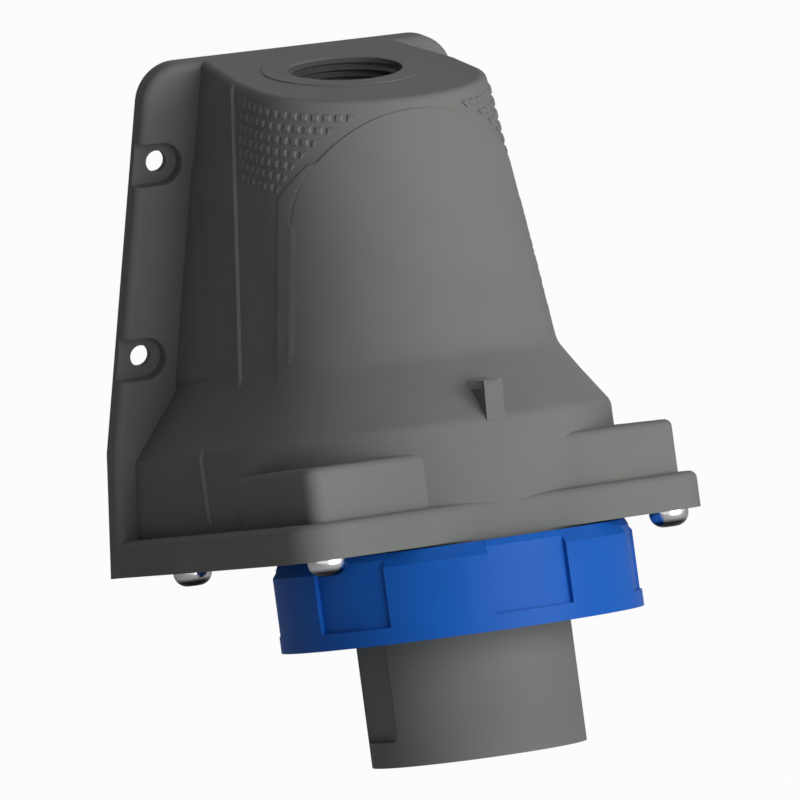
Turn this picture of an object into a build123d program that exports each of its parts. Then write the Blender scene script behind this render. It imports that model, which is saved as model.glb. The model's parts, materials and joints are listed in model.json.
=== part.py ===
from build123d import *
import math
import os

os.makedirs("parts", exist_ok=True)

# Wall mounted power inlet, in millimetres.
# The origin is on the wall face, midway in height between the two rows of mounting holes.
# +Y runs into the wall and +Z is up, so the whole body lies on the -Y side.

# Wall plate
plate_top = 66.2
plate_top_half = 55.6
plate_low_half = 71.6
plate_low_z = -66.0
plate_corner = 14.0
plate_t = 8.0
plate_round = 3.0
plate_tail = 130.0

# Mounting holes in their pockets
hole_r = 3.7
hole_z = 33.0
hole_inset = 8.25
hole_seat = 3.0
pocket_r = 7.3

# Inlet axis: square to the rim plane, leaning out from the wall at its lower end
tilt = 15.0
rim_y = -118.7
rim_z = -77.9

# Hood, from the flat top down to the rim
top_half = 40.2
top_crease_half = 40.6
top_back_half = 34.6
top_cheek = -62.0
top_front = -95.5
top_round = 2.5
neck_h = 60.0
neck_half = 49.6
neck_crease_half = 52.0
neck_back_half = 47.3
neck_cheek = 15.0
neck_front = -30.8
neck_round = 9.0
barrel_h = 38.0
barrel_half = 65.5
barrel_crease_half = 66.2
barrel_back_half = 64.0
barrel_cheek = 17.4
barrel_front = -48.1
shoulder_round = 5.0
hood_crease = 35.0
crease = 43.0
shell = 3.5
back_wall = 4.0
bowl_h = 18.0
bowl_inset = 7.5
bowl_back = 92.0

# Raised arch panel on the front of the hood
panel_proud = 0.6
panel_r = 41.6
panel_z = 21.0
panel_splay = 8.4
panel_foot_h = 63.0

# Rim band, corner bosses and front fin
rim_half = 73.5
rim_crease_half = 73.8
rim_back_half = 70.5
rim_front = 48.3
rim_corner = 13.7
rim_band = 12.0
rim_round = 2.5
boss_inner = 20.0
boss_outer = 66.3
boss_front = 43.0
boss_back = 15.0
boss_top = 29.8
boss_round = 2.5
boss_corner = 5.0
fin_half = 3.3
fin_low = 37.5
fin_low_front = 48.3
fin_top = 50.2
fin_top_front = 49.8

# Cable entry
entry_y = -44.0
entry_r = 19.4
entry_length = 14.0
entry_wall = 4.0
entry_face_r = 27.4
entry_face_t = 0.3

# Inlet flange, gasket and their screws
skirt = 2.6
flange_back = 100.0
flange_t = 4.0
gasket_t = 2.0
flange_fit = 0.3
screw_side_inset = 9.6
screw_front_inset = 7.2
back_screw_side_inset = 14.4
screw_back_inset = 13.1
screw_r = 2.9
screw_length = 18.0
screw_hole_gap = 0.4
head_r = 6.5
head_t = 5.3
head_round = 4.6
cross_width = 1.5
cross_reach = 3.6
cross_depth = 2.2
insert_r = 3.8
insert_length = 13.0
thread_gap = 0.05
pillar_wall = 2.6
pillar_top = 24.0

# Pin sleeve and its collar
sleeve_r = 35.5
sleeve_wall = 3.8
sleeve_length = 71.0
sleeve_flat_depth = 2.3
sleeve_flat_half = 11.9
sleeve_flat_end = 62.7
sleeve_flat_corner = 3.0
key_half = 4.0
key_height = 2.6
key_end = 64.0
collar_r = 50.0
collar_wall = 3.6
collar_length = 9.0
groove_depth = 1.2
hub_r = 39.5
hub_top = 9.0

# Locking ring
ring_r = 60.0
ring_recess_r = 58.3
ring_bore = 54.4
ring_top_gap = 0.6
ring_low = 29.8
lip_height = 5.4
recess_count = 6
recess_angle = 27.0
ring_web = 3.5
ring_gap = 0.3
ring_chamfer = 3.2
ring_chamfer_drop = 4.4
recess_chamfer = 1.0
recess_chamfer_drop = 2.0
lug_count = 3
lug_angle = 34.0
lug_reach = 3.4
lug_height = 4.0
lug_lift = 2.4
stop_travel = 50.0
stop_angle = 12.0
stop_slack = 0.6

# Snap ring under the web of the locking ring
clip_r = 53.2
clip_t = 2.0
clip_gap = 0.3
clip_cut = 14.0

# Face seal inside the collar
seal_t = 3.5
seal_gap = 0.3

# Pin carrier
carrier_face = 14.0
carrier_fit = 0.2
carrier_disc_r = 38.6
carrier_disc_t = 7.0
carrier_screw_r = 1.7
carrier_screw_at = 35.4
carrier_screw_head_r = 3.0
carrier_screw_head_t = 2.4
carrier_screw_length = 12.0
carrier_slot = 1.0
pin_collar = 2.4
pin_collar_t = 3.0
barrier_count = 3
barrier_t = 1.6
barrier_from = 8.5
barrier_to = 32.0
barrier_height = 14.0

# Pins, terminals and clamping screws
pin_circle = 18.5
pin_spread = 120.0
pin_tip = 58.0
earth_tip = 61.0
pilot_tip = 46.0
pin_r = 4.0
earth_r = 5.0
pilot_r = 3.0
pin_gap = 0.05
pin_nose = 1.5
pin_grip = 0.6
stub_r = 2.6
stub_length = 7.0
stub_clear = 0.5
terminal_round = 1.0
terminal_side = 13.0
earth_side = 14.0
pilot_side = 9.0
terminal_height = 20.0
pilot_height = 16.0
wire_r = 4.2
earth_wire_r = 4.6
pilot_wire_r = 2.2
wire_depth = 11.0
clamp_r = 2.4
clamp_rise = 6.0
clamp_gap = 0.05
clamp_proud = 2.5
clamp_slot = 0.9
clamp_slot_depth = 1.2
clamp_bite = 1.0
pilot_clamp_r = 1.5

# Running fit of pieces that are pressed or screwed together, and how far cuts run past a face
fit = 0.05
past = 1.0

lean = math.radians(tilt)
axis_up = Vector(0, math.sin(lean), math.cos(lean))
rim_plane = Plane(origin=(0, rim_y, rim_z), x_dir=(1, 0, 0), z_dir=axis_up)
wall_reach = -rim_y / math.cos(lean) + plate_t
inner_seat = flange_t + gasket_t
top_crease_y = rim_y + (hood_crease + math.sin(lean) * (plate_top - rim_z)) / math.cos(lean)
recess_half = rim_half - skirt
recess_front = rim_front - skirt
recess_corner = rim_corner - skirt
bore_r = sleeve_r - sleeve_wall
web_top = -ring_top_gap
web_bottom = web_top - ring_web
clip_top = web_bottom - clip_gap
front_screw = (recess_half - screw_side_inset, screw_front_inset - recess_front)
back_screw = (recess_half - back_screw_side_inset, flange_back - screw_back_inset)
flange_holes = [(side * x, q) for side in (-1, 1) for x, q in (front_screw, back_screw)]
plate_flare = (plate_low_half - plate_top_half) / (plate_top - plate_low_z)
upper_hole_x = plate_top_half + plate_flare * (plate_top - hole_z) - hole_inset
lower_hole_x = plate_top_half + plate_flare * (plate_top + hole_z) - hole_inset
entry_top = plate_top + entry_face_t
pin_root = -carrier_face - pin_collar_t
live_x = pin_circle * math.sin(math.radians(pin_spread))
live_q = pin_circle * math.cos(math.radians(pin_spread))
disc_top = hub_top + carrier_disc_t
splay = math.radians(panel_splay)
spring_x = panel_r * math.cos(splay)
spring_z = panel_z + panel_r * math.sin(splay)
foot_x = spring_x + (spring_z + plate_tail) * math.tan(splay)
side_plane = Plane(origin=rim_plane.origin, x_dir=rim_plane.y_dir, z_dir=(1, 0, 0))
live_places = [(-live_x, live_q), (live_x, live_q)]
earth_place = (0, pin_circle)
pin_places = [(pin_r, live_places), (earth_r, [earth_place]), (pilot_r, [(0, 0)])]
carrier_holes = [(-carrier_screw_at, 0), (carrier_screw_at, 0)]


def at(h):
    """Plane square to the inlet axis, h above the rim."""
    return rim_plane.offset(h)


def bay(plane, front, cheek, half, crease_at, crease_half, back_half, reach):
    """U shaped outline: a half ellipse to the front, and sides that crease and run back to the wall."""
    with BuildSketch(plane) as outline:
        with BuildLine():
            Polyline((-half, cheek), (-crease_half, crease_at), (-back_half, reach))
            Line((-back_half, reach), (back_half, reach))
            Polyline((back_half, reach), (crease_half, crease_at), (half, cheek))
            EllipticalCenterArc((0, cheek), half, cheek - front, start_angle=180, arc_size=180)
        make_face()
    return outline.sketch


def top_outline(inset, grow=0.0):
    """Outline of the hood's flat top, inset evenly."""
    return bay(
        Plane.XY.offset(plate_top - inset),
        top_front + inset - grow,
        top_cheek,
        top_half - inset + grow,
        top_crease_y,
        top_crease_half - inset + grow,
        top_back_half - inset + grow,
        0,
    )


def neck_outline(inset, grow=0.0):
    """Outline of the hood where it starts to flare."""
    return bay(
        at(neck_h),
        neck_front + inset - grow,
        neck_cheek,
        neck_half - inset + grow,
        hood_crease,
        neck_crease_half - inset + grow,
        neck_back_half - inset + grow,
        wall_reach,
    )


def barrel_outline(h, inset, reach):
    """Outline of the barrel round the inlet."""
    return bay(
        at(h),
        barrel_front + inset,
        barrel_cheek,
        barrel_half - inset,
        crease,
        barrel_crease_half - inset,
        barrel_back_half - inset,
        reach,
    )


def rim_outline():
    """Outline of the rim band: square front corners that are rounded, sides that crease."""
    with BuildSketch(at(0)) as outline:
        with BuildLine():
            Polyline(
                (-rim_back_half, wall_reach),
                (-rim_crease_half, crease),
                (-rim_half, -rim_front),
                (rim_half, -rim_front),
                (rim_crease_half, crease),
                (rim_back_half, wall_reach),
                close=True,
            )
        make_face()
        fillet(outline.vertices().group_by(Axis.Y)[0], rim_corner)
    return outline.sketch


def flange_outline(h, inset):
    """Outline of the inlet flange, inset evenly from its recess in the rim."""
    depth = recess_front + flange_back
    with BuildSketch(at(h)) as outline:
        with Locations((0, (flange_back - recess_front) / 2)):
            RectangleRounded(2 * (recess_half - inset), depth - 2 * inset, recess_corner - inset)
    return outline.sketch


def disc(h, r):
    """Circle about the inlet axis."""
    with BuildSketch(at(h)) as outline:
        Circle(r)
    return outline.sketch


def ring_face(h, outer, inner):
    """Flat ring about the inlet axis."""
    with BuildSketch(at(h)) as outline:
        Circle(outer)
        Circle(inner, mode=Mode.SUBTRACT)
    return outline.sketch


def spots(h, r, places):
    """Equal circles at places in a plane square to the inlet axis."""
    with BuildSketch(at(h)) as outline:
        with Locations(*places):
            Circle(r)
    return outline.sketch


def sector(h, outer, inner, start, sweep):
    """Part of a flat ring, from a start angle, counted from the wall side."""
    with BuildSketch(at(h)) as outline:
        with BuildLine():
            first = PolarLine((0, 0), outer, start + 90)
            last = PolarLine((0, 0), outer, start + sweep + 90)
            RadiusArc(first @ 1, last @ 1, -outer)
        make_face()
        Circle(inner, mode=Mode.SUBTRACT)
    return outline.sketch


def entry_disc(r):
    """Circle about the cable entry, on its face."""
    with BuildSketch(Plane.XY.offset(entry_top)) as outline:
        with Locations((0, entry_y)):
            Circle(r)
    return outline.sketch


def edges_on(shape, plane):
    """Edges that lie wholly in a plane."""
    return shape.edges().filter_by(
        lambda edge: all(abs(plane.to_local_coords(edge @ t).Z) < 0.01 for t in (0, 0.5, 1))
    )


# Wall plate: upper corners cut round, front edges rounded
with BuildPart() as plate_form:
    with BuildSketch(Plane.XZ) as plate_outline:
        with BuildLine():
            Polyline(
                (-plate_low_half, -plate_tail),
                (-plate_low_half, plate_low_z),
                (-plate_top_half, plate_top),
                (plate_top_half, plate_top),
                (plate_low_half, plate_low_z),
                (plate_low_half, -plate_tail),
                close=True,
            )
        make_face()
        fillet(plate_outline.vertices().group_by(Axis.Y)[-1], plate_corner)
    extrude(plate_outline.sketch, amount=plate_t)
    fillet(edges_on(plate_form.part, Plane.XZ.offset(plate_t)), plate_round)

# Hood: flat top, rounded front, neck, flare and barrel
with BuildPart() as hood_form:
    loft([top_outline(0), neck_outline(0)], ruled=True)
    loft([neck_outline(0), barrel_outline(barrel_h, 0, wall_reach)], ruled=True)
    extrude(barrel_outline(0, 0, wall_reach), amount=barrel_h)
    shoulder_edges = edges_on(hood_form.part, at(barrel_h)).sort_by(Axis.Y)[:-3]
    fillet(shoulder_edges, shoulder_round)
    neck_edges = edges_on(hood_form.part, at(neck_h)).sort_by(Axis.Y)[:-1]
    fillet(neck_edges, neck_round)
    top_edges = edges_on(hood_form.part, Plane.XY.offset(plate_top)).sort_by(Axis.Y)[:-1]
    fillet(top_edges, top_round)

# Raised arch panel: the hood's front grown a little, inside an arch seen from the front
with BuildPart() as panel_form:
    loft([top_outline(0, panel_proud), neck_outline(0, panel_proud)], ruled=True)
    split(bisect_by=at(panel_foot_h), keep=Keep.TOP)
    with BuildSketch(Plane.XZ) as arch:
        with BuildLine():
            ThreePointArc((-spring_x, spring_z), (0, panel_z + panel_r), (spring_x, spring_z))
            Polyline(
                (spring_x, spring_z),
                (foot_x, -plate_tail),
                (-foot_x, -plate_tail),
                (-spring_x, spring_z),
            )
        make_face()
    extrude(arch.sketch, amount=-rim_y + plate_tail, mode=Mode.INTERSECT)

# Rim band with its rounded shoulder
with BuildPart() as rim_form:
    extrude(rim_outline(), amount=rim_band)
    fillet(edges_on(rim_form.part, at(rim_band)).sort_by(Axis.Y)[:-1], rim_round)

# One corner boss, the other is its mirror image
with BuildPart() as boss_form:
    with BuildSketch(at(0)) as boss_foot:
        with Locations(((boss_inner + boss_outer) / 2, (boss_back - boss_front) / 2)):
            Rectangle(boss_outer - boss_inner, boss_front + boss_back)
    extrude(boss_foot.sketch, amount=boss_top)
    uprights = boss_form.edges().filter_by(lambda e: abs(e.tangent_at(0.5).dot(axis_up)) > 0.99)
    fillet(uprights.sort_by(Axis.Y)[:2].sort_by(Axis.X)[-1], boss_corner)
    fillet(edges_on(boss_form.part, at(boss_top)), boss_round)
    mirror(about=Plane.YZ)

# Hollow of the hood, less the screw pillars and the collar of the cable entry
with BuildPart() as hollow_form:
    loft([top_outline(shell), neck_outline(shell)], ruled=True)
    loft([neck_outline(shell), barrel_outline(barrel_h - shell, shell, wall_reach)], ruled=True)
    extrude(barrel_outline(bowl_h, shell, wall_reach), amount=barrel_h - shell - bowl_h)
    extrude(barrel_outline(inner_seat - past, bowl_inset, bowl_back), amount=bowl_h - inner_seat + past)
    split(bisect_by=Plane.XZ.offset(back_wall), keep=Keep.TOP)
    extrude(
        spots(inner_seat - past, insert_r + pillar_wall, flange_holes),
        amount=pillar_top - inner_seat + past,
        mode=Mode.SUBTRACT,
    )
    extrude(entry_disc(entry_r + entry_wall), amount=-entry_length, mode=Mode.SUBTRACT)

# Housing
with BuildPart() as housing:
    add(hood_form.part)
    add(plate_form.part)
    add(panel_form.part)
    add(rim_form.part)
    add(boss_form.part)
    with BuildSketch(side_plane) as fin:
        with BuildLine():
            Polyline(
                (0, fin_low),
                (-fin_low_front, fin_low),
                (-fin_top_front, fin_top),
                (0, fin_top),
                close=True,
            )
        make_face()
    extrude(fin.sketch, amount=fin_half, both=True)
    extrude(entry_disc(entry_face_r), amount=-entry_face_t)
    split(bisect_by=Plane.XZ, keep=Keep.TOP)
    split(bisect_by=rim_plane, keep=Keep.TOP)
    add(hollow_form.part, mode=Mode.SUBTRACT)
    extrude(flange_outline(-past, 0), amount=inner_seat + past, mode=Mode.SUBTRACT)
    extrude(
        spots(inner_seat, insert_r + fit, flange_holes),
        amount=screw_length - inner_seat + 2 * past,
        mode=Mode.SUBTRACT,
    )
    extrude(entry_disc(entry_r), amount=-entry_length - past, mode=Mode.SUBTRACT)
    for x, z in ((upper_hole_x, hole_z), (lower_hole_x, -hole_z)):
        for side in (-1, 1):
            with BuildSketch(Plane.XZ.offset(hole_seat)) as pocket:
                with Locations((side * x, z)):
                    Circle(pocket_r)
                with Locations((side * (x + hole_inset), z)):
                    Rectangle(2 * hole_inset, 2 * pocket_r)
            extrude(pocket.sketch, amount=plate_t, mode=Mode.SUBTRACT)
            with BuildSketch(Plane.XZ) as bolt_hole:
                with Locations((side * x, z)):
                    Circle(hole_r)
            extrude(bolt_hole.sketch, amount=plate_t, mode=Mode.SUBTRACT)

housing.part.label = "housing"
export_step(housing.part, "parts/housing.step")

# Gasket between the housing's ledge and the inlet flange
with BuildPart() as flange_gasket:
    extrude(flange_outline(flange_t, flange_fit), amount=gasket_t)
    extrude(barrel_outline(flange_t, bowl_inset, bowl_back), amount=gasket_t, mode=Mode.SUBTRACT)
    extrude(spots(flange_t, insert_r + pillar_wall, flange_holes), amount=gasket_t)
    extrude(flange_outline(flange_t, flange_fit), amount=gasket_t, mode=Mode.INTERSECT)
    extrude(spots(flange_t, screw_r + screw_hole_gap, flange_holes), amount=gasket_t, mode=Mode.SUBTRACT)
flange_gasket.part.label = "flange_gasket"
export_step(flange_gasket.part, "parts/flange_gasket.step")

# Inlet body: flange, inner hub, pin sleeve with its key, and the collar that the ring turns on
with BuildPart() as inlet_body:
    extrude(flange_outline(0, flange_fit), amount=flange_t)
    extrude(disc(flange_t, hub_r), amount=hub_top - flange_t)
    extrude(disc(-sleeve_length, sleeve_r), amount=sleeve_length)
    with BuildSketch(at(-key_end)) as key:
        with Locations((0, sleeve_r + key_height / 2 - sleeve_wall / 2)):
            Rectangle(2 * key_half, key_height + sleeve_wall)
    extrude(key.sketch, amount=key_end)
    extrude(
        disc(-sleeve_length - past, bore_r),
        amount=sleeve_length + hub_top + 2 * past,
        mode=Mode.SUBTRACT,
    )
    with BuildSketch(side_plane.offset(sleeve_r - sleeve_flat_depth)) as flat:
        with Locations((0, -sleeve_flat_end / 2)):
            Rectangle(2 * sleeve_flat_half, sleeve_flat_end)
        fillet(flat.vertices().group_by(Axis.Y)[0], sleeve_flat_corner)
    for flat_face in (flat.sketch, mirror(flat.sketch, Plane.YZ, mode=Mode.PRIVATE)):
        extrude(flat_face, amount=sleeve_flat_depth + past, mode=Mode.SUBTRACT)
    extrude(
        ring_face(-collar_length, collar_r, collar_r - collar_wall),
        amount=collar_length,
    )
    extrude(
        ring_face(clip_top - clip_t - fit, collar_r + past, collar_r - groove_depth),
        amount=clip_t + 2 * fit,
        mode=Mode.SUBTRACT,
    )
    extrude(
        sector(web_bottom, ring_bore - stop_slack, collar_r - past, -stop_angle / 2, stop_angle),
        amount=-web_bottom,
    )
    screw_holes = spots(-past, screw_r + screw_hole_gap, flange_holes)
    extrude(screw_holes, amount=flange_t + 2 * past, mode=Mode.SUBTRACT)
    extrude(
        spots(disc_top - carrier_screw_length - past, carrier_screw_r + fit, carrier_holes),
        amount=carrier_screw_length,
        mode=Mode.SUBTRACT,
    )
inlet_body.part.label = "inlet_body"
export_step(inlet_body.part, "parts/inlet_body.step")

# Sectors of the finger recesses, whose wall reaches higher than the ring's chamfer
with BuildPart() as recess_form:
    recess_low = lip_height - ring_low
    extrude(ring_face(recess_low, ring_recess_r, ring_bore), amount=web_top - recess_low)
    chamfer(
        edges_on(recess_form.part, at(web_top)).sort_by(SortBy.LENGTH)[-1],
        length=recess_chamfer_drop,
        length2=recess_chamfer,
    )
    with BuildPart(mode=Mode.INTERSECT):
        for n in range(recess_count):
            start = n * 360 / recess_count - recess_angle / 2
            extrude(sector(-ring_low, ring_r, ring_bore - past, start, recess_angle), amount=ring_low)

# Locking ring: outer wall with finger recesses, web that hangs on the collar, bayonet lugs inside
with BuildPart() as locking_ring:
    extrude(ring_face(-ring_low, ring_r, ring_bore), amount=ring_low + web_top)
    chamfer(
        edges_on(locking_ring.part, at(web_top)).sort_by(SortBy.LENGTH)[-1],
        length=ring_chamfer_drop,
        length2=ring_chamfer,
    )
    for n in range(recess_count):
        start = n * 360 / recess_count - recess_angle / 2
        extrude(
            sector(recess_low, ring_r + past, ring_recess_r, start, recess_angle),
            amount=ring_low,
            mode=Mode.SUBTRACT,
        )
    add(recess_form.part)
    extrude(ring_face(web_bottom, ring_bore + past, collar_r + ring_gap), amount=ring_web)
    window = stop_angle + stop_travel + 2 * stop_slack
    window_start = stop_slack + stop_angle / 2 - window
    extrude(
        sector(web_bottom, ring_bore, collar_r - past, window_start, window),
        amount=ring_web,
        mode=Mode.SUBTRACT,
    )
    for n in range(lug_count):
        start = (n + 0.5) * 360 / lug_count - lug_angle / 2
        extrude(
            sector(lug_lift - ring_low, ring_bore + past, ring_bore - lug_reach, start, lug_angle),
            amount=lug_height,
        )
locking_ring.part.label = "locking_ring"
export_step(locking_ring.part, "parts/locking_ring.step")

# Snap ring in the collar's groove, under the web of the locking ring
with BuildPart() as ring_clip:
    extrude(ring_face(clip_top - clip_t, clip_r, collar_r - groove_depth + fit), amount=clip_t)
    cut_start = 180 - clip_cut / 2
    extrude(
        sector(clip_top - clip_t, clip_r + past, collar_r - groove_depth - past, cut_start, clip_cut),
        amount=clip_t,
        mode=Mode.SUBTRACT,
    )
ring_clip.part.label = "ring_clip"
export_step(ring_clip.part, "parts/ring_clip.step")

# Face seal round the foot of the sleeve
with BuildPart() as face_seal:
    extrude(ring_face(-seal_t, collar_r - collar_wall - seal_gap, sleeve_r + seal_gap), amount=seal_t)
    with BuildSketch(at(-seal_t)) as key_notch:
        with Locations((0, sleeve_r)):
            Rectangle(2 * (key_half + seal_gap), 2 * (key_height + seal_gap))
    extrude(key_notch.sketch, amount=seal_t, mode=Mode.SUBTRACT)
face_seal.part.label = "face_seal"
export_step(face_seal.part, "parts/face_seal.step")

# Pin carrier: plug in the sleeve, disc on the hub, pin collars and barriers between the terminals
with BuildPart() as pin_carrier:
    extrude(disc(-carrier_face, bore_r - carrier_fit), amount=carrier_face + hub_top)
    extrude(disc(hub_top, carrier_disc_r), amount=carrier_disc_t)
    for r, places in pin_places:
        extrude(spots(pin_root, r + pin_collar, places), amount=pin_collar_t)
    barrier_start = 90 - pin_spread / 2
    with BuildSketch(at(disc_top)) as barriers:
        with PolarLocations((barrier_from + barrier_to) / 2, barrier_count, start_angle=barrier_start):
            Rectangle(barrier_to - barrier_from, barrier_t)
    extrude(barriers.sketch, amount=barrier_height)
    for r, places in pin_places:
        pin_holes = spots(pin_root, r + pin_grip + pin_gap, places)
        extrude(pin_holes, amount=disc_top - pin_root, mode=Mode.SUBTRACT)
    extrude(
        spots(hub_top, carrier_screw_r + 2 * fit, carrier_holes),
        amount=carrier_disc_t,
        mode=Mode.SUBTRACT,
    )
pin_carrier.part.label = "pin_carrier"
export_step(pin_carrier.part, "parts/pin_carrier.step")


def pin(place, r, tip):
    """Contact pin: rounded nose, thicker shank in the carrier, stub that stands in its terminal."""
    with BuildPart() as made:
        extrude(spots(-tip, r, [place]), amount=tip + pin_root)
        fillet(edges_on(made.part, at(-tip)), pin_nose)
        extrude(spots(pin_root, r + pin_grip, [place]), amount=disc_top - pin_root)
        extrude(spots(disc_top, stub_r, [place]), amount=stub_length)
    return made.part


def terminal(place, side, height, wire, screw, facing):
    """Terminal block with a socket for the pin, a well for the wire and a threaded cross hole."""
    with BuildPart() as made:
        with BuildSketch(at(disc_top)) as foot:
            with Locations(place):
                RectangleRounded(side, side, terminal_round)
        extrude(foot.sketch, amount=height)
        stub_socket = spots(disc_top, stub_r + pin_gap, [place])
        extrude(stub_socket, amount=stub_length + stub_clear, mode=Mode.SUBTRACT)
        extrude(
            spots(disc_top + height - wire_depth, wire, [place]),
            amount=wire_depth,
            mode=Mode.SUBTRACT,
        )
        with BuildSketch(clamp_plane(place, height, facing)) as cross:
            Circle(screw + clamp_gap)
        extrude(cross.sketch, amount=side, mode=Mode.SUBTRACT)
    return made.part


def clamp_plane(place, height, facing):
    """Plane through the wire well, square to the clamping screw."""
    level = disc_top + height - wire_depth + clamp_rise
    centre = rim_plane.from_local_coords(Vector(place[0], place[1], level))
    return Plane(origin=centre, x_dir=(1, 0, 0), z_dir=rim_plane.y_dir * facing)


def clamp_screw(place, side, height, wire, screw, facing):
    """Slotted grub screw that reaches a little way into the wire well."""
    start = wire - clamp_bite
    length = side / 2 + clamp_proud - start
    base = clamp_plane(place, height, facing)
    with BuildPart() as made:
        with BuildSketch(base.offset(start)) as shank:
            Circle(screw)
        extrude(shank.sketch, amount=length)
        with BuildSketch(base.offset(start + length)) as slot:
            Rectangle(3 * screw, clamp_slot)
        extrude(slot.sketch, amount=-clamp_slot_depth, mode=Mode.SUBTRACT)
    return made.part


contacts = {
    "earth": (earth_place, earth_r, earth_tip, earth_side, terminal_height, earth_wire_r, clamp_r, 1),
    "line": (live_places[0], pin_r, pin_tip, terminal_side, terminal_height, wire_r, clamp_r, -1),
    "neutral": (live_places[1], pin_r, pin_tip, terminal_side, terminal_height, wire_r, clamp_r, -1),
    "pilot": ((0, 0), pilot_r, pilot_tip, pilot_side, pilot_height, pilot_wire_r, pilot_clamp_r, -1),
}
for name, (place, r, tip, side, height, wire, screw, facing) in contacts.items():
    pieces = {
        name + "_pin": pin(place, r, tip),
        name + "_terminal": terminal(place, side, height, wire, screw, facing),
        name + "_clamp_screw": clamp_screw(place, side, height, wire, screw, facing),
    }
    for label, piece in pieces.items():
        piece.label = label
        export_step(piece, "parts/" + label + ".step")

# Screws that hold the pin carrier on the hub
with BuildPart() as carrier_screws:
    screw_tips = spots(disc_top - carrier_screw_length, carrier_screw_r, carrier_holes)
    extrude(screw_tips, amount=carrier_screw_length)
    extrude(spots(disc_top, carrier_screw_head_r, carrier_holes), amount=carrier_screw_head_t)
    with BuildSketch(at(disc_top + carrier_screw_head_t)) as slots:
        with Locations(*carrier_holes):
            Rectangle(2 * carrier_screw_head_r, carrier_slot)
    extrude(slots.sketch, amount=-carrier_slot, mode=Mode.SUBTRACT)
carrier_screws.part.label = "carrier_screws"
export_step(carrier_screws.part, "parts/carrier_screws.step")

# Pan head screws that hold the inlet flange, with a cross recess
with BuildPart() as flange_screws:
    extrude(spots(-head_t, head_r, flange_holes), amount=head_t)
    fillet(edges_on(flange_screws.part, at(-head_t)), head_round)
    extrude(spots(0, screw_r, flange_holes), amount=screw_length)
    with BuildSketch(at(-head_t)) as cross:
        with Locations(*flange_holes):
            Rectangle(2 * cross_reach, cross_width)
            Rectangle(cross_width, 2 * cross_reach)
    extrude(cross.sketch, amount=cross_depth, mode=Mode.SUBTRACT)
flange_screws.part.label = "flange_screws"
export_step(flange_screws.part, "parts/flange_screws.step")

# Threaded inserts moulded into the housing's pillars
with BuildPart() as screw_inserts:
    extrude(spots(inner_seat, insert_r, flange_holes), amount=insert_length)
    insert_holes = spots(inner_seat, screw_r + thread_gap, flange_holes)
    extrude(insert_holes, amount=insert_length, mode=Mode.SUBTRACT)
screw_inserts.part.label = "screw_inserts"
export_step(screw_inserts.part, "parts/screw_inserts.step")
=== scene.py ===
import bpy
import bmesh
import json
import math
from mathutils import Matrix, Vector
from mathutils.bvhtree import BVHTree


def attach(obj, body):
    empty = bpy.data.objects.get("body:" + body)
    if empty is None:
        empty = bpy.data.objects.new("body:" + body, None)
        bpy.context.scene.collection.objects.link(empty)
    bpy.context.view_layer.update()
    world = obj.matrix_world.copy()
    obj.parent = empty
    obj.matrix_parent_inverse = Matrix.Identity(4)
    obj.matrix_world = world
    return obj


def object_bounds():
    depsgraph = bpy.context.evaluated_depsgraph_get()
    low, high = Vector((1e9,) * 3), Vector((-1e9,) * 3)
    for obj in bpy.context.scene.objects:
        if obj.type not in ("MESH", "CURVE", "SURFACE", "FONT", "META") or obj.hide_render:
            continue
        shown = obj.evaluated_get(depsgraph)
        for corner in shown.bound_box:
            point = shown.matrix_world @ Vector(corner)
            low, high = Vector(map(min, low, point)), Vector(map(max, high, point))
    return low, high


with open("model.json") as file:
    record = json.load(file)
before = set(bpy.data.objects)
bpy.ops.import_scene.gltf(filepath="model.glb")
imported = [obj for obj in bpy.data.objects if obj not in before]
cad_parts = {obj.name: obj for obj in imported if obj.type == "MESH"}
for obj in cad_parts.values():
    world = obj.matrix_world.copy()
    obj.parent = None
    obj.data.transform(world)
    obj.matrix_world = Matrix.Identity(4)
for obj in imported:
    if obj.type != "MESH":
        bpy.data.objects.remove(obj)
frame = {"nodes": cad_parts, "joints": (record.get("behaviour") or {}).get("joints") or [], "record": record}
cad_low, cad_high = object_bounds()
nodes = frame["nodes"]

MM = 0.001

# Inlet axis, from the ring's joint. A height h runs up from the rim along UP, away from the sleeve's mouth,
# and a distance q runs from the axis towards the wall along ACROSS.
ring_joint = next(j for j in frame["joints"] if j["name"] == "ring_turn")
RIM = Vector(ring_joint["pos_m"])
UP = Vector(ring_joint["axis"]).normalized()
ACROSS = Vector((0, UP.z, -UP.y))

# Cable entry, from its mount
entry = next(m for m in frame["record"]["mounts"] if m["name"] == "cable_entry")
ENTRY_AT = Vector(entry["pos_m"])
ENTRY_R = entry["dims"]["r_mm"] * MM
ENTRY_LENGTH = entry["dims"]["length_mm"] * MM
ENTRY_TOP = ENTRY_AT.z + ENTRY_LENGTH / 2

# Parallel pipe thread of the entry, with its profile over one pitch: (share of the pitch, share of the depth)
THREAD_PITCH = 2.309 * MM
THREAD_DEPTH = 1.3 * MM
THREAD_END = 0.3 * MM
THREAD_STEPS = 96
THREAD_FADE_STEPS = 32
THREAD_PROFILE = [(-0.5, 0.03), (-0.38, 0.05), (-0.08, 1.0), (0.08, 1.0), (0.38, 0.05), (0.5, 0.03)]

# Level outlines of the hood, by rays that start outside it, aim at an upright axis and turn by a step in
# degrees, and that end short of the crease
OUTLINE_AXIS_Y = -62.0 * MM
OUTLINE_END_Q = 33.2 * MM
OUTLINE_STEP = 0.25
OUTLINE_STEPS = 600
OUTLINE_FROM = 0.3

# Arch panel of the solid: an arc, and sides that splay down to a foot
ARCH_R = 41.6 * MM
ARCH_Z = 21.0 * MM
ARCH_SPLAY = math.radians(8.4)
PANEL_PROUD = 0.6 * MM
FOOT_H = 63.0 * MM

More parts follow.
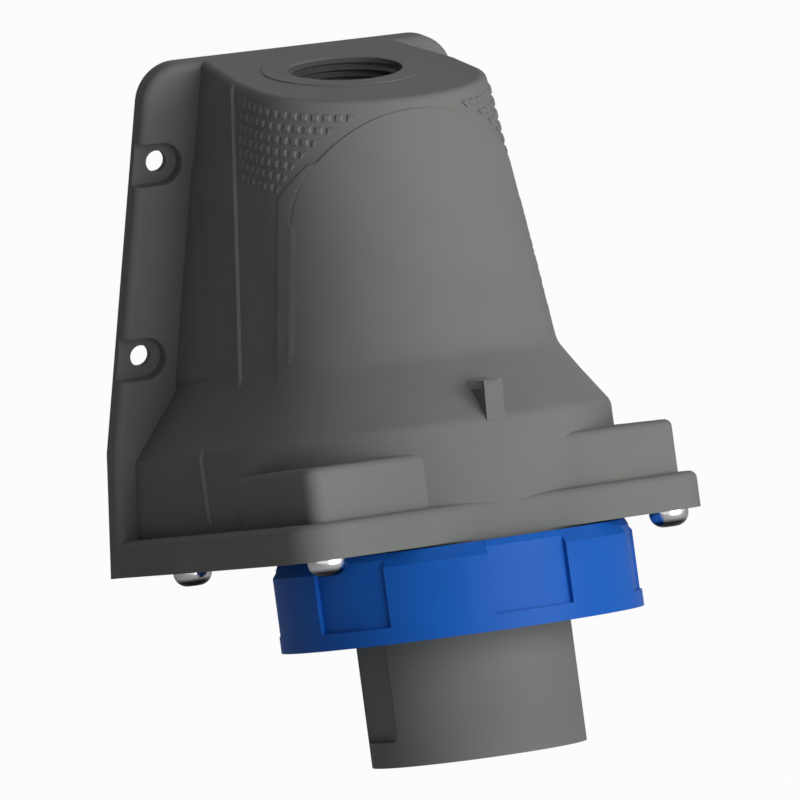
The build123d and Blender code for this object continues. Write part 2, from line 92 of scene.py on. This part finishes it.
# Grip studs in the two corners above the arch panel. Their sides bend at a share of the slope, and a stud
# that the arch's margin cuts off keeps at least a share of it on top.
STUD_PITCH = 3.93 * MM
STUD_WIDTH = 2.95 * MM
STUD_TOP = 1.5 * MM
STUD_HEIGHT = 0.6 * MM
STUD_SINK = 0.12 * MM
STUD_BEND = 0.82
STUD_LEAST_TOP = 0.3
STUD_ROWS = 7
STUD_FIRST_Z = 60.8 * MM
STUD_MARGIN = 2.6 * MM

# Parting lines down the sides of the hood and the barrel, by rays that start outside them. Their ends sink in
# by a share of the height. Profile across a line: (share of the half width, share of the height)
HOOD_LINE_Q = 35.0 * MM
HOOD_LINE_SPAN = (57.0 * MM, 160.0 * MM)
BARREL_LINE_Q = 43.0 * MM
BARREL_LINE_SPAN = (12.8 * MM, 41.0 * MM)
LINE_STEP = 1.0 * MM
LINE_HALF = 1.5 * MM
LINE_PROUD = 0.85 * MM
LINE_SINK = 0.3
LINE_FADE_STEPS = 4
LINE_FROM = 0.2
LINE_PROFILE = [(-1.0, -0.3), (-0.4, 1.0), (0.0, 1.0), (1.0, -0.1)]

# Real edge of the arch panel: it falls away to a corner on the flank, and from there runs nearly upright
CORNER_Z = 34.0 * MM
CORNER_Q = 5.9 * MM
ARCH_FALL = 0.844
FLANK_FALL = 0.0585

# Cheeks, which carry the solid's arch panel on to that edge. They lap on the panel, keep clear of its step
# with a crown over it, stand a little over panel and hood, and sink in at the top and past the edge.
CHEEK_TOP_Z = 50.0 * MM
CHEEK_STEP = 1.0 * MM
CHEEK_ROWS = 84
CHEEK_SPANS = 6
CHEEK_LEAST = 0.1 * MM
CHEEK_LAP = 2.0 * MM
CHEEK_CLEAR = 0.9 * MM
CHEEK_CROWN = 0.1 * MM
CHEEK_OVER_PANEL = 0.07 * MM
CHEEK_OVER_HOOD = 0.02 * MM
CHEEK_TOP_SINK = 0.12 * MM
CHEEK_EDGE_RUN = 0.25 * MM
CHEEK_EDGE_SINK = 0.1 * MM
CHEEK_END = 0.2 * MM

# Skirt, which runs the arch panel's foot out into the hood, by rays aimed at a line beside the axis. Its
# first two rows lie on the solid's panel: (height over the foot, how far over the panel)
FOOT_RUN = 15.0 * MM
SKIRT_LAPS = [(0.9 * MM, -0.06 * MM), (0.6 * MM, 0.03 * MM)]
SKIRT_GAP = 0.15 * MM
SKIRT_ROWS = 15
SKIRT_END_SINK = 0.04 * MM
SKIRT_EDGE_SINK = 0.08 * MM
SKIRT_AXIS_Q = 15.0 * MM
SKIRT_HALF_TURN = 110
SKIRT_FROM = 0.2

# Lamps round the object: (name, azimuth and elevation in degrees, size in metres, power in watts)
LAMP_DISTANCE = 2.2
LAMPS = [("key", 11, 15, 1.9, 36), ("side", 36, 15, 1.2, 14), ("top", 10, 78, 1.4, 4)]

# Light that the white surroundings give to matt surfaces, and share of the floor's look that glows in view
ROOM_LIGHT = 0.045
FLOOR_GLOW = 0.96
FLOOR_GAP = 0.025
FLOOR_HALF = 12.0

# Camera, fitted to the photograph: place in metres, angles in degrees, lens and sensor in mm
CAMERA_AT = Vector((-1.133064, -2.545069, 0.635689))
CAMERA_AZIMUTH = 24.70
CAMERA_ELEVATION = 13.97
CAMERA_ROLL = 1.45
CAMERA_LENS = 380.25
CAMERA_SENSOR = 36.0


# Materials

def blank(name):
    """An empty material with its shader and output."""
    material = bpy.data.materials.new(name)
    material.use_nodes = True
    tree = material.node_tree
    tree.nodes.clear()
    out = tree.nodes.new("ShaderNodeOutputMaterial")
    shader = tree.nodes.new("ShaderNodeBsdfPrincipled")
    tree.links.new(shader.outputs["BSDF"], out.inputs["Surface"])
    return material, tree, shader


def noise(tree, scale, detail, rough, stretch=(1, 1, 1)):
    """Noise in the object's own coordinates, in cycles a metre."""
    place = tree.nodes.new("ShaderNodeTexCoord")
    mapping = tree.nodes.new("ShaderNodeMapping")
    mapping.inputs["Scale"].default_value = stretch
    texture = tree.nodes.new("ShaderNodeTexNoise")
    texture.inputs["Scale"].default_value = scale
    texture.inputs["Detail"].default_value = detail
    texture.inputs["Roughness"].default_value = rough
    tree.links.new(place.outputs["Object"], mapping.inputs["Vector"])
    tree.links.new(mapping.outputs["Vector"], texture.inputs["Vector"])
    return texture.outputs["Fac"]


def ramp(tree, value, stops):
    """Colour ramp over a value, from (place, colour) stops."""
    node = tree.nodes.new("ShaderNodeValToRGB")
    first, last = stops[0], stops[-1]
    node.color_ramp.elements[0].position, node.color_ramp.elements[0].color = first
    node.color_ramp.elements[1].position, node.color_ramp.elements[1].color = last
    for place, colour in stops[1:-1]:
        node.color_ramp.elements.new(place).color = colour
    tree.links.new(value, node.inputs["Fac"])
    return node.outputs["Color"]


def spread(tree, value, low, high, lowest=0.0):
    """A value from its lowest to 1, mapped to a range."""
    node = tree.nodes.new("ShaderNodeMapRange")
    node.inputs["From Min"].default_value = lowest
    node.inputs["To Min"].default_value = low
    node.inputs["To Max"].default_value = high
    tree.links.new(value, node.inputs["Value"])
    return node.outputs["Result"]


def bump(tree, value, height, strength, under=None):
    """Bump from a value, over another bump if given."""
    node = tree.nodes.new("ShaderNodeBump")
    node.inputs["Strength"].default_value = strength
    node.inputs["Distance"].default_value = height
    tree.links.new(value, node.inputs["Height"])
    if under is not None:
        tree.links.new(under, node.inputs["Normal"])
    return node.outputs["Normal"]


def linear(red, green, blue):
    """sRGB 0 to 255 as a linear colour."""
    def one(c):
        c /= 255
        return c / 12.92 if c <= 0.04045 else ((c + 0.055) / 1.055) ** 2.4
    return (one(red), one(green), one(blue), 1.0)


def toned(colour, share, bloom=0.0):
    """A colour made darker or paler."""
    return tuple(min(1.0, c * share + bloom) for c in colour[:3]) + (1.0,)


def moulded(name, colour, rough, gloss, grain_scale=1400.0, grain=0.02 * MM):
    """Moulded plastic: spark eroded grain, faint flow clouds and an uneven sheen."""
    material, tree, shader = blank(name)
    clouds = noise(tree, scale=22.0, detail=4.0, rough=0.5)
    flow = ramp(tree, clouds, [(0.3, toned(colour, 0.93)), (0.7, toned(colour, 1.06))])
    tree.links.new(flow, shader.inputs["Base Color"])
    sheen = noise(tree, scale=60.0, detail=5.0, rough=0.6)
    tree.links.new(spread(tree, sheen, rough - 0.05, rough + 0.06), shader.inputs["Roughness"])
    sparks = noise(tree, scale=grain_scale, detail=2.0, rough=0.5)
    fine = bump(tree, sparks, height=grain, strength=0.6)
    swell = noise(tree, scale=90.0, detail=2.0, rough=0.4)
    waves = bump(tree, swell, height=0.04 * MM, strength=0.35, under=fine)
    tree.links.new(waves, shader.inputs["Normal"])
    shader.inputs["Specular IOR Level"].default_value = gloss
    return material


def marked_metal(name, low_rough, high_rough, strength):
    """Metal with fine marks but no colour yet, and the marks themselves."""
    material, tree, shader = blank(name)
    marks = noise(tree, scale=900.0, detail=3.0, rough=0.6, stretch=(1, 1, 4))
    tree.links.new(spread(tree, marks, low_rough, high_rough), shader.inputs["Roughness"])
    tree.links.new(bump(tree, marks, height=0.01 * MM, strength=strength), shader.inputs["Normal"])
    shader.inputs["Metallic"].default_value = 1.0
    return material, tree, shader, marks


def metal(name, colour, rough, strength=0.5):
    """Plated or turned metal."""
    material, tree, shader, marks = marked_metal(name, rough - 0.06, rough + 0.1, strength)
    tint = ramp(tree, marks, [(0.35, toned(colour, 0.86)), (0.65, colour)])
    tree.links.new(tint, shader.inputs["Base Color"])
    return material


def chrome(name, painted_reflection_dark, bright, rough):
    """Bright plating with a painted dark reflection in its colour on faces that look nearly down the inlet
    axis.
    """
    material, tree, shader, _ = marked_metal(name, rough - 0.05, rough + 0.08, 0.5)
    facing = tree.nodes.new("ShaderNodeNewGeometry")
    along = tree.nodes.new("ShaderNodeVectorMath")
    along.operation = "DOT_PRODUCT"
    along.inputs[1].default_value = UP
    tree.links.new(facing.outputs["Normal"], along.inputs[0])
    # From 0 on a face that looks down the inlet axis to 1 on a face that looks up it
    share = spread(tree, along.outputs["Value"], 0.0, 1.0, lowest=-1.0)
    # Painted reflection: the base colour turns dark on faces that look nearly down the inlet axis
    tint = ramp(tree, share, [(0.0, bright), (0.012, painted_reflection_dark), (0.17, painted_reflection_dark), (0.3, bright)])
    tree.links.new(tint, shader.inputs["Base Color"])
    return material


def rubber(name, colour):
    """Matt moulded rubber with a dusty bloom."""
    material, tree, shader = blank(name)
    bloom = noise(tree, scale=160.0, detail=4.0, rough=0.65)
    dust = ramp(tree, bloom, [(0.4, colour), (0.8, toned(colour, 1.8, 0.004))])
    tree.links.new(dust, shader.inputs["Base Color"])
    pores = noise(tree, scale=1100.0, detail=2.0, rough=0.5)
    tree.links.new(bump(tree, pores, height=0.03 * MM, strength=0.7), shader.inputs["Normal"])
    shader.inputs["Roughness"].default_value = 0.78
    shader.inputs["Specular IOR Level"].default_value = 0.3
    return material


housing_plastic = moulded("housing_plastic", linear(120, 122, 119), rough=0.55, gloss=0.03)
# Painted shade: the entry's thread has a darker grey than the housing so that the deep bore looks dark
bore_shade_plastic = moulded("bore_shade_plastic", linear(84, 86, 84), rough=0.5, gloss=0.1)
# Painted highlight: the parting lines have a paler grey than the housing so that they read as bright lines
line_highlight_plastic = moulded("line_highlight_plastic", linear(126, 128, 125), rough=0.55, gloss=0.03)
sleeve_plastic = moulded("sleeve_plastic", linear(116, 118, 116), rough=0.55, gloss=0.05)
ring_plastic = moulded("ring_plastic", linear(24, 92, 184), rough=0.42, gloss=0.12,
                       grain_scale=1800.0, grain=0.01 * MM)
carrier_plastic = moulded("carrier_plastic", linear(34, 34, 35), rough=0.6, gloss=0.3)
seal_rubber = rubber("seal_rubber", linear(26, 26, 27))
# The screws' darker colour is a painted reflection, put on faces that look nearly down the inlet axis
screw_steel = chrome("screw_steel", linear(58, 58, 60), linear(222, 223, 225), rough=0.16)
clip_steel = metal("clip_steel", linear(150, 150, 152), rough=0.35)
clamp_steel = metal("clamp_steel", linear(178, 178, 180), rough=0.32)
contact_brass = metal("contact_brass", linear(205, 178, 112), rough=0.24, strength=0.8)
terminal_brass = metal("terminal_brass", linear(190, 162, 98), rough=0.34)

finishes = {
    "housing": housing_plastic,
    "inlet_body": sleeve_plastic,
    "locking_ring": ring_plastic,
    "pin_carrier": carrier_plastic,
    "flange_gasket": seal_rubber,
    "face_seal": seal_rubber,
    "flange_screws": screw_steel,
    "ring_clip": clip_steel,
    "carrier_screws": clamp_steel,
    "screw_inserts": terminal_brass,
}
for contact in ("earth", "line", "neutral", "pilot"):
    finishes[contact + "_pin"] = contact_brass
    finishes[contact + "_terminal"] = terminal_brass
    finishes[contact + "_clamp_screw"] = clamp_steel
for name, material in finishes.items():
    slots = nodes[name].data.materials
    if not slots:
        slots.append(material)
    for index in range(len(slots)):
        slots[index] = material


# Pieces on the housing, and what they share

def bridge(mesh, rows, smooth=False):
    """Faces between neighbouring rows of vertices."""
    for a, b in zip(rows, rows[1:]):
        for k in range(len(a) - 1):
            mesh.faces.new((a[k], a[k + 1], b[k + 1], b[k])).smooth = smooth


def finished(mesh, name):
    """Mesh data from an edit mesh, which is then freed."""
    made = bpy.data.meshes.new(name)
    mesh.to_mesh(made)
    mesh.free()
    return made


def turned_out(mesh, name):
    """Mesh data from an edit mesh, with all faces turned outwards."""
    bmesh.ops.recalc_face_normals(mesh, faces=mesh.faces[:])
    return finished(mesh, name)


def add_piece(name, mesh, material):
    """A piece of the housing, fixed to the root body."""
    piece = bpy.data.objects.new(name, mesh)
    bpy.context.scene.collection.objects.link(piece)
    mesh.materials.append(material)
    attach(piece, "root")


def make_thread():
    """Helical ridge that stands in from the entry's bore, faded out at both ends."""
    mesh = bmesh.new()
    turns = (ENTRY_LENGTH - 2 * THREAD_END) / THREAD_PITCH - 1
    count = int(turns * THREAD_STEPS)
    rows = []
    for step in range(count + 1):
        angle = 2 * math.pi * step / THREAD_STEPS
        fade = min(1.0, step / THREAD_FADE_STEPS, (count - step) / THREAD_FADE_STEPS)
        middle = ENTRY_TOP - THREAD_END - THREAD_PITCH * (0.5 + step / THREAD_STEPS)
        row = []
        for along, depth in THREAD_PROFILE:
            radius = ENTRY_R - THREAD_DEPTH * depth * fade
            row.append(mesh.verts.new((
                ENTRY_AT.x + radius * math.cos(angle),
                ENTRY_AT.y + radius * math.sin(angle),
                middle + along * THREAD_PITCH,
            )))
        rows.append(row)
    bridge(mesh, rows)
    mesh.normal_update()
    return finished(mesh, "entry_thread")


housing_mesh = nodes["housing"].data
skin = BVHTree.FromPolygons(
    [v.co.copy() for v in housing_mesh.vertices], [tuple(f.vertices) for f in housing_mesh.polygons])


def above_rim(point):
    """Height of a point above the rim, along the inlet axis."""
    return (point - RIM).dot(UP)


def across(point):
    """Distance of a point from the inlet axis, towards the wall."""
    return (point - RIM).dot(ACROSS)


def outline_at(z, side):
    """The hood's outline at a height: (run, point, normal), from the middle of the front to the crease."""
    made = []
    run = 0.0
    axis = Vector((0, OUTLINE_AXIS_Y, z))
    for step in range(OUTLINE_STEPS):
        angle = math.radians(step * OUTLINE_STEP)
        out = Vector((side * math.sin(angle), -math.cos(angle), 0))
        point, normal, _, _ = skin.ray_cast(axis + out * OUTLINE_FROM, -out)
        if point is None or across(point) > OUTLINE_END_Q:
            break
        if made:
            run += (point - made[-1][1]).length
        made.append((run, point, normal))
    return made


def place_on(outline, run):
    """Point and normal at a run along an outline."""
    for a, b in zip(outline, outline[1:]):
        if b[0] >= run:
            share = (run - a[0]) / max(b[0] - a[0], 1e-9)
            return a[1].lerp(b[1], share), a[2].lerp(b[2], share).normalized()
    return None, None


# Studs

def stud_edge(outline, z):
    """Run at which an outline leaves the margin round the arch, for a height."""
    reach = math.sqrt(max((ARCH_R + STUD_MARGIN) ** 2 - (z - ARCH_Z) ** 2, 0))
    return max((run for run, point, _ in outline if abs(point.x) < reach), default=0.0)


def add_stud(mesh, outline, z, first):
    """Raised stud with sloping sides, cut off where it would reach into the arch's margin."""
    last = first + STUD_WIDTH
    half = STUD_WIDTH / 2
    low_edge, high_edge = stud_edge(outline, z - half), stud_edge(outline, z + half)
    slope = (STUD_WIDTH - STUD_TOP) / 2
    levels = [(0.0, -STUD_SINK), (slope * STUD_BEND, STUD_HEIGHT * STUD_BEND), (slope, STUD_HEIGHT)]
    rings = []
    for inset, proud in levels:
        ring = []
        for edge, up in ((low_edge, inset - half), (high_edge, half - inset)):
            start = min(max(first, edge) + inset, last - inset - slope * STUD_LEAST_TOP)
            for run in ((start, last - inset) if up < 0 else (last - inset, start)):
                point, normal = place_on(outline, run)
                if point is None:
                    return
                along = Vector((0, 0, 1)).cross(normal).normalized()
                ring.append(point + normal * proud + normal.cross(along).normalized() * up)
        rings.append([mesh.verts.new(corner) for corner in ring])
    for low, high in zip(rings, rings[1:]):
        for k in range(4):
            mesh.faces.new((low[k], low[(k + 1) % 4], high[(k + 1) % 4], high[k]))
    mesh.faces.new(rings[-1])


def make_studs(side):
    """Rows of studs between the arch panel and the crease on one side."""
    mesh = bmesh.new()
    for row in range(STUD_ROWS):
        z = STUD_FIRST_Z - row * STUD_PITCH
        outline = outline_at(z, side)
        place = stud_edge(outline, z)
        while place + STUD_WIDTH < outline[-1][0]:
            add_stud(mesh, outline, z, place)
            place += STUD_PITCH
    return turned_out(mesh, "studs")


# Parting lines

def make_line(side, q, span):
    """Low ridge down a side of the housing, faded out at both ends and kept inside the solids' box."""
    mesh = bmesh.new()
    low, high = span
    count = int((high - low) / LINE_STEP)
    rows = []
    for k in range(count + 1):
        h = low + (high - low) * k / count
        fade = min(1.0, k / LINE_FADE_STEPS, (count - k) / LINE_FADE_STEPS)
        row = []
        for along, proud in LINE_PROFILE:
            outside = RIM + ACROSS * (q + along * LINE_HALF) + UP * h + Vector((side * LINE_FROM, 0, 0))
            point, _, _, _ = skin.ray_cast(outside, Vector((-side, 0, 0)))
            if point is None:
                break
            out = abs(point.x) + LINE_PROUD * (proud * fade - (1 - fade) * LINE_SINK)
            row.append(Vector((side * min(out, cad_high.x), point.y, point.z)))
        if len(row) == len(LINE_PROFILE):
            rows.append([mesh.verts.new(point) for point in row])
    bridge(mesh, rows)
    return turned_out(mesh, "line")


# Arch panel beyond the solid's own: cheeks on the flanks and a skirt at the foot

def panel_reach(z):
    """Half width of the solid's own arch panel at a height."""
    spring_x, spring_z = ARCH_R * math.cos(ARCH_SPLAY), ARCH_Z + ARCH_R * math.sin(ARCH_SPLAY)
    if z > spring_z:
        return math.sqrt(max(ARCH_R ** 2 - (z - ARCH_Z) ** 2, 0))
    return spring_x + (spring_z - z) * math.tan(ARCH_SPLAY)


def panel_edge(z):
    """Where the panel's real edge stands at a height, as a distance from the axis towards the wall."""
    fall = ARCH_FALL if z > CORNER_Z else FLANK_FALL
    return CORNER_Q + (CORNER_Z - z) * fall


def run_out(share):
    """Share of the panel's height that is left at a share of the way down its foot."""
    share = min(max(share, 0.0), 1.0)
    return 1 - share * share * (3 - 2 * share)


def cheek_row(outline, start, end, top):
    """Points across a cheek: lapped on the solid's panel, crowned over its step, and out to a sunk edge."""
    sink = CHEEK_TOP_SINK if top else 0.0
    first = start + CHEEK_CLEAR
    # (run, whether it lies on the solid's own panel, how far over the panel's height)
    places = [(start - CHEEK_LAP, True, 0.0), (start - CHEEK_CLEAR, True, CHEEK_OVER_PANEL)]
    for k in range(CHEEK_SPANS + 1):
        places.append((first + (end - first) * k / CHEEK_SPANS, False, CHEEK_OVER_HOOD))
    row = []
    for run, on_panel, over in places:
        point, normal = place_on(outline, run)
        h = above_rim(point)
        lift = PANEL_PROUD * run_out((FOOT_H - h) / FOOT_RUN)
        if top or (on_panel and h > FOOT_H):
            lift = 0.0
        row.append(point + normal * (lift + over - sink))
    normal = place_on(outline, start)[1]
    crown = normal * (0.0 if top else CHEEK_CROWN)
    row.insert(2, (row[1] + row[2]) / 2 + crown)
    point, normal = place_on(outline, end + CHEEK_EDGE_RUN)
    row.append(point - normal * (CHEEK_EDGE_SINK + sink))
    return row


def make_cheek(side):
    """Strip that carries the arch panel on round the flank, from the solid's own panel to its edge."""
    mesh = bmesh.new()
    rows = []
    for step in range(CHEEK_ROWS):
        z = CHEEK_TOP_Z - step * CHEEK_STEP
        outline = outline_at(z, side)
        start = next((run for run, point, _ in outline if abs(point.x) > panel_reach(z)), None)
        end = next((run for run, point, _ in outline if across(point) > panel_edge(z)), None)
        if start is None or end is None or end < start + CHEEK_CLEAR + CHEEK_LEAST:
            continue
        rows.append([mesh.verts.new(point) for point in cheek_row(outline, start, end, top=not rows)])
        if above_rim(place_on(outline, end)[0]) < FOOT_H - CHEEK_END:
            break
    bridge(mesh, rows, smooth=True)
    for a, b in zip(rows, rows[1:]):
        mesh.edges.get((a[-2], b[-2])).smooth = False
    return turned_out(mesh, "cheek")


def make_skirt():
    """Wedge under the arch panel's foot: as proud as the panel at its top, and run out at its bottom."""
    mesh = bmesh.new()
    # (height above the rim, share of the panel's height left, how far over that)
    levels = [(FOOT_H + above, 1.0, over) for above, over in SKIRT_LAPS]
    for step in range(SKIRT_ROWS + 1):
        share = step / SKIRT_ROWS
        over = -SKIRT_END_SINK if step == SKIRT_ROWS else 0.0
        levels.append((FOOT_H - SKIRT_GAP - FOOT_RUN * share, run_out(share), over))
    rows = []
    for h, share, over in levels:
        axis = RIM + ACROSS * SKIRT_AXIS_Q + UP * h
        row = []
        for degrees in range(-SKIRT_HALF_TURN, SKIRT_HALF_TURN + 1):
            angle = math.radians(degrees)
            out = Vector((math.sin(angle), 0, 0)) - ACROSS * math.cos(angle)
            point, _, _, _ = skin.ray_cast(axis + out * SKIRT_FROM, -out)
            if across(point) > panel_edge(point.z):
                lift = -SKIRT_EDGE_SINK
            elif h > FOOT_H and abs(point.x) < panel_reach(point.z):
                lift = over
            else:
                lift = share * PANEL_PROUD + over
            row.append(mesh.verts.new(point + out * lift))
        rows.append(row)
    bridge(mesh, rows, smooth=True)
    return turned_out(mesh, "skirt")


add_piece("entry_thread", make_thread(), bore_shade_plastic)
add_piece("panel_skirt", make_skirt(), housing_plastic)
for label, side in (("left", -1), ("right", 1)):
    add_piece("studs_" + label, make_studs(side), housing_plastic)
    add_piece("panel_cheek_" + label, make_cheek(side), housing_plastic)
    add_piece("hood_line_" + label, make_line(side, HOOD_LINE_Q, HOOD_LINE_SPAN), line_highlight_plastic)
    add_piece("barrel_line_" + label, make_line(side, BARREL_LINE_Q, BARREL_LINE_SPAN), line_highlight_plastic)


# Light, surroundings and floor

def softbox(name, azimuth, elevation, size, power):
    """Square area lamp that faces the object, at an azimuth from straight in front towards +X."""
    a, e = math.radians(azimuth), math.radians(elevation)
    away = Vector((math.sin(a) * math.cos(e), -math.cos(a) * math.cos(e), math.sin(e)))
    lamp = bpy.data.lights.new(name, "AREA")
    lamp.size = size
    lamp.energy = power
    holder = bpy.data.objects.new(name, lamp)
    holder.location = (cad_low + cad_high) / 2 + away * LAMP_DISTANCE
    holder.rotation_euler = (-away).to_track_quat("-Z", "Y").to_euler()
    bpy.context.scene.collection.objects.link(holder)


def make_world():
    """Surroundings that are white in view, in reflections and through glass, and dim as a light."""
    world = bpy.data.worlds.new("studio")
    bpy.context.scene.world = world
    world.use_nodes = True
    tree = world.node_tree
    tree.nodes.clear()
    path = tree.nodes.new("ShaderNodeLightPath")
    seen = path.outputs["Is Camera Ray"]
    for kind in ("Is Glossy Ray", "Is Transmission Ray"):
        either = tree.nodes.new("ShaderNodeMath")
        either.operation = "MAXIMUM"
        tree.links.new(seen, either.inputs[0])
        tree.links.new(path.outputs[kind], either.inputs[1])
        seen = either.outputs["Value"]
    background = tree.nodes.new("ShaderNodeBackground")
    background.inputs["Color"].default_value = (1, 1, 1, 1)
    tree.links.new(spread(tree, seen, ROOM_LIGHT, 1.0), background.inputs["Strength"])
    out = tree.nodes.new("ShaderNodeOutputWorld")
    tree.links.new(background.outputs["Background"], out.inputs["Surface"])


def make_floor():
    """Pale floor under the object. In view most of it glows white, and the rest shows the shadow."""
    z = cad_low.z - FLOOR_GAP
    corners = [(x * FLOOR_HALF, y * FLOOR_HALF, z) for x, y in ((-1, -1), (1, -1), (1, 1), (-1, 1))]
    mesh = bpy.data.meshes.new("floor")
    mesh.from_pydata(corners, [], [(0, 1, 2, 3)])
    floor = bpy.data.objects.new("floor", mesh)
    bpy.context.scene.collection.objects.link(floor)
    material, tree, shader = blank("pale_floor")
    shader.inputs["Base Color"].default_value = (0.86, 0.86, 0.86, 1)
    shader.inputs["Roughness"].default_value = 0.9
    glow = tree.nodes.new("ShaderNodeEmission")
    glow.inputs["Color"].default_value = (1, 1, 1, 1)
    path = tree.nodes.new("ShaderNodeLightPath")
    mix = tree.nodes.new("ShaderNodeMixShader")
    share = spread(tree, path.outputs["Is Camera Ray"], 0.0, FLOOR_GLOW)
    tree.links.new(share, mix.inputs["Fac"])
    tree.links.new(shader.outputs["BSDF"], mix.inputs[1])
    tree.links.new(glow.outputs["Emission"], mix.inputs[2])
    out = next(node for node in tree.nodes if node.type == "OUTPUT_MATERIAL")
    tree.links.new(mix.outputs["Shader"], out.inputs["Surface"])
    mesh.materials.append(material)


for lamp in LAMPS:
    softbox(*lamp)
make_world()
make_floor()


# Camera

def make_camera():
    """Camera at the photograph's place, with its small roll."""
    a, e, r = (math.radians(angle) for angle in (CAMERA_AZIMUTH, CAMERA_ELEVATION, CAMERA_ROLL))
    forward = Vector((math.sin(a) * math.cos(e), math.cos(a) * math.cos(e), -math.sin(e)))
    level_right = Vector((math.cos(a), -math.sin(a), 0))
    level_up = level_right.cross(forward)
    right = level_right * math.cos(r) - level_up * math.sin(r)
    up = level_right * math.sin(r) + level_up * math.cos(r)
    data = bpy.data.cameras.new("camera")
    data.lens = CAMERA_LENS
    data.sensor_width = CAMERA_SENSOR
    data.sensor_fit = "HORIZONTAL"
    data.clip_start = 0.05
    data.clip_end = 60.0
    camera = bpy.data.objects.new("camera", data)
    turn = Matrix((right, up, -forward)).transposed().to_4x4()
    camera.matrix_world = Matrix.Translation(CAMERA_AT) @ turn
    bpy.context.scene.collection.objects.link(camera)
    bpy.context.scene.camera = camera


make_camera()
bpy.context.scene.view_settings.view_transform = "Standard"
